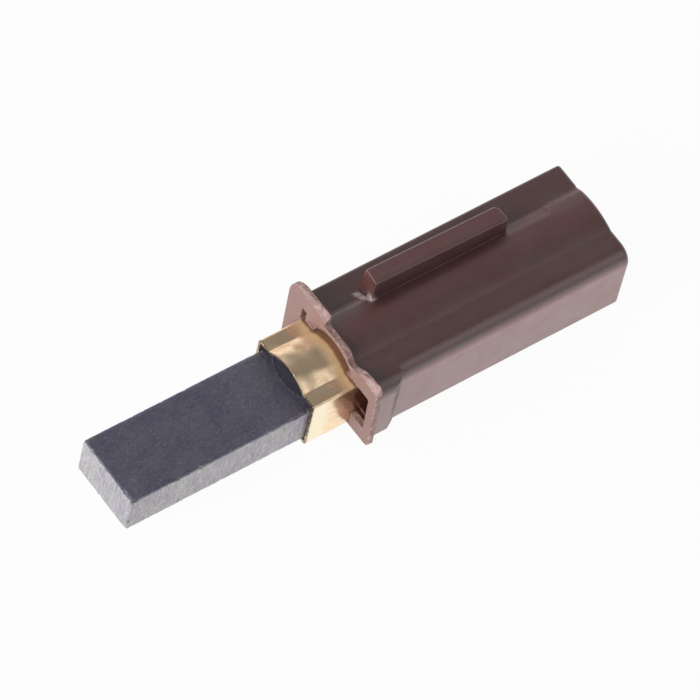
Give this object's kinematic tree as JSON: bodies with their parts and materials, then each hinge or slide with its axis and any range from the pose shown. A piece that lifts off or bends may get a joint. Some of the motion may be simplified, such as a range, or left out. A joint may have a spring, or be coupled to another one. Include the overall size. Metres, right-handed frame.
{
  "type": "carbon brush",
  "caption": "Rectangular carbon brush that slides in a folded brass tube, pushed by a coil spring, in a moulded flanged holder with a connector pocket beside the tube.",
  "frame": {"origin": "On the axis of the brass tube, at the middle of the carbon's height, in the plane of the flange's rear face, where the holder seats against the motor frame.", "axes": "X runs along the brush: the carbon points toward -X and the closed end of the holder is at +X. The connector pocket is on the -Y side. The rib is on top, toward +Z."},
  "size_m": [0.0767, 0.0199, 0.0149],
  "materials": {
    "housing": "satin dark reddish brown",
    "brass": "satin rolled sheet",
    "carbon": "dull pressed graphite",
    "copper_powder": "dull tamped copper",
    "copper_braid": "bright fine copper braid",
    "solder": "satin solder",
    "spring_steel": "bright spring wire"
  },
  "bodies": {
    "holder": {"housing": "housing", "brass_tube": "brass", "tube_end_plate": "brass", "shunt_solder": "solder", "shunt": "copper_braid", "brush_spring": "spring_steel"},
    "brush": {"carbon_block": "carbon", "tamped_copper": "copper_powder"}
  },
  "joints": [
    {"name": "brush_slide", "type": "slide", "parent": "holder", "child": "brush", "axis": [1, 0, 0], "range_m": [0, 0.026], "stiffness_N_per_m": 125, "springref_m": -0.006, "deforming": ["brush_spring", "shunt"]}
  ]
}
